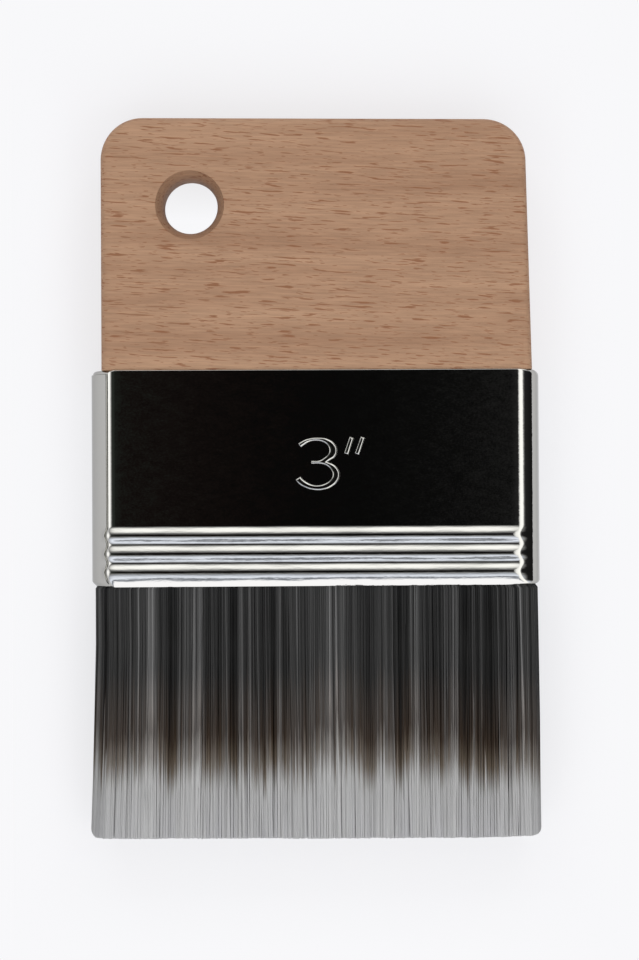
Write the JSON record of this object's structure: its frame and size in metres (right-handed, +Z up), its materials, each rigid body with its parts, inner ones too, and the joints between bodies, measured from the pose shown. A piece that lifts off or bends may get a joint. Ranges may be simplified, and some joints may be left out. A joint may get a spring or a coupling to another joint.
{
  "type": "cleaning brush",
  "caption": "Wide flat cleaning brush with a short wooden block handle, a beaded plated metal ferrule and straight two-tone synthetic filament.",
  "frame": {"origin": "centre of the box in X and Y, on the surface that the brush lies on", "axes": "+X across the brush's width, +Y from the filament's tips to the handle's end, +Z up out of the front face, the brush lying on its back"},
  "size_m": [0.0769, 0.1211, 0.0187],
  "materials": {
    "beech": "bare sanded beech",
    "plated_sheet": "bright nickel plate",
    "brad_steel": "bright drawn wire",
    "cast_resin": "cast epoxy",
    "spacer_wood": "sawn",
    "filament": "drawn filament, dark at the ferrule and light grey at the tips"
  },
  "bodies": {
    "root": {"handle": "beech", "ferrule": "plated_sheet", "ferrule_brads": "brad_steel", "setting_resin": "cast_resin", "spacer_strip": "spacer_wood", "filament_front": "filament", "filament_back": "filament"}
  },
  "joints": []
}
